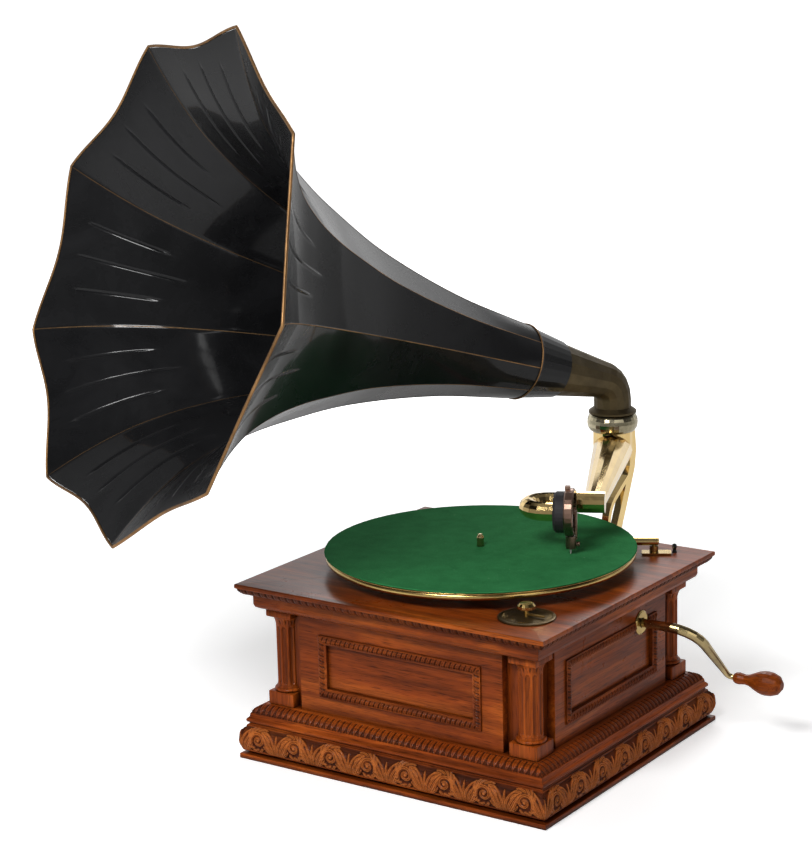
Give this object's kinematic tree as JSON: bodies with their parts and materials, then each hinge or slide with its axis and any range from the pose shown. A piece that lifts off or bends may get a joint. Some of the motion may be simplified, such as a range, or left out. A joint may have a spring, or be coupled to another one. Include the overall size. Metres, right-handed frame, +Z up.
{
  "type": "disc phonograph",
  "caption": "Disc phonograph with a carved wooden case, felt turntable, swinging tone arm, brass elbow, flared panelled horn, side crank and spring motor.",
  "frame": {"origin": "middle of the case's underside, on the surface it stands on", "axes": "+X to the crank side, -Y to the front of the case, +Z up"},
  "size_m": [0.7039, 0.6473, 0.7093],
  "materials": {
    "oak": "polished, dark stained",
    "carved_oak": "carved and waxed",
    "brass": "polished",
    "steel": "turned",
    "nickel": "worn plate",
    "bronze": "dark patina",
    "iron": "blackened",
    "enamel": "gloss",
    "gilt": "worn gilding",
    "olive_bronze": "satin",
    "felt": "matt",
    "rubber": "matt"
  },
  "bodies": {
    "case": {"bottom_board": "oak", "top_board": "oak", "front_wall": "oak", "plinth_front": "carved_oak", "cornice_front": "oak", "right_wall": "oak", "plinth_right": "carved_oak", "cornice_right": "oak", "back_wall": "oak", "plinth_back": "carved_oak", "cornice_back": "oak", "left_wall": "oak", "plinth_left": "carved_oak", "cornice_left": "oak", "front_moulding": "carved_oak", "right_moulding": "carved_oak", "left_moulding": "carved_oak", "front_right_post": "oak", "front_right_column": "carved_oak", "back_right_post": "oak", "back_right_column": "carved_oak", "back_left_post": "oak", "back_left_column": "carved_oak", "front_left_post": "oak", "front_left_column": "carved_oak", "collar": "nickel", "bracket": "brass", "speed_dial": "brass", "brake_plate": "nickel", "brake_peg": "enamel", "escutcheon": "brass", "motor_plate": "iron", "motor_lower_plate": "iron"},
    "turntable": {"platter": "brass", "felt_mat": "felt", "spindle": "steel"},
    "intermediate": {"intermediate_arbor": "steel"},
    "spring_barrel": {"barrel": "brass", "barrel_cover": "steel", "mainspring": "steel"},
    "winding_arbor": {"barrel_arbor": "steel"},
    "crank": {"crank": "iron", "winding_shaft": "steel"},
    "crank_grip": {"crank_handle": "oak"},
    "governor": {"governor": "steel"},
    "governor_lever": {"governor_lever": "steel"},
    "regulator": {"speed_knob": "enamel"},
    "brake": {"brake_lever": "brass"},
    "arm": {"tone_arm": "brass"},
    "head": {"gooseneck": "brass", "sound_box_flange": "rubber", "sound_box_case": "bronze", "diaphragm": "nickel", "stylus_bar": "steel", "needle": "steel", "needle_screw": "steel"},
    "horn": {"elbow": "olive_bronze", "horn_sleeve": "enamel", "horn": "enamel", "horn_rim": "gilt"}
  },
  "joints": [
    {"name": "turntable_spin", "type": "hinge", "parent": "case", "child": "turntable", "pos_m": [0, 0.005, 0.19], "axis": [0, 0, 1], "continuous": true},
    {"name": "intermediate_spin", "type": "hinge", "parent": "case", "child": "intermediate", "pos_m": [0.00662, 0.03937, 0.1], "axis": [0, 0, 1], "continuous": true},
    {"name": "barrel_spin", "type": "hinge", "parent": "case", "child": "spring_barrel", "pos_m": [0.058, 0.056, 0.09], "axis": [0, 0, 1], "continuous": true},
    {"name": "governor_spin", "type": "hinge", "parent": "case", "child": "governor", "pos_m": [0, -0.013, 0.104], "axis": [1, 0, 0], "continuous": true},
    {"name": "crank_turn", "type": "hinge", "parent": "case", "child": "crank", "pos_m": [0.151, 0.056, 0.1295], "axis": [1, 0, 0], "continuous": true},
    {"name": "arbor_turn", "type": "hinge", "parent": "case", "child": "winding_arbor", "pos_m": [0.058, 0.056, 0.115], "axis": [0, 0, 1], "continuous": true},
    {"name": "grip_spin", "type": "hinge", "parent": "crank", "child": "crank_grip", "pos_m": [0.2186, 0.11812, 0.06717], "axis": [1, 0, 0], "continuous": true},
    {"name": "regulator_turn", "type": "hinge", "parent": "case", "child": "regulator", "pos_m": [0.1243, -0.1114, 0.18], "axis": [0, 0, 1], "range_deg": [-60, 60]},
    {"name": "governor_lever_swing", "type": "hinge", "parent": "case", "child": "governor_lever", "pos_m": [0.084, -0.06, 0.16], "axis": [0, 0, 1], "range_deg": [-1.5, 1.5]},
    {"name": "brake_swing", "type": "hinge", "parent": "case", "child": "brake", "pos_m": [0.126, 0.1252, 0.19], "axis": [0, 0, 1], "range_deg": [-25, 14]},
    {"name": "arm_swing", "type": "hinge", "parent": "case", "child": "arm", "pos_m": [0, 0.265, 0.2594], "axis": [0, 0, 1], "range_deg": [-9, 22]},
    {"name": "head_lift", "type": "hinge", "parent": "arm", "child": "head", "pos_m": [0.09213, 0.06742, 0.239], "axis": [0.9063, 0.4226, 0], "range_deg": [-120, 0]},
    {"name": "horn_turn", "type": "hinge", "parent": "case", "child": "horn", "pos_m": [0, 0.265, 0.2789], "axis": [0, 0, 1], "range_deg": [-60, 60]}
  ],
  "couplings": [
    {"joint": "intermediate_spin", "follows": "turntable_spin", "ratio": -0.25},
    {"joint": "barrel_spin", "follows": "turntable_spin", "ratio": 0.05},
    {"joint": "governor_spin", "follows": "turntable_spin", "ratio": 8},
    {"joint": "arbor_turn", "follows": "crank_turn", "ratio": 0.41667},
    {"joint": "governor_lever_swing", "follows": "regulator_turn", "ratio": -0.024}
  ]
}
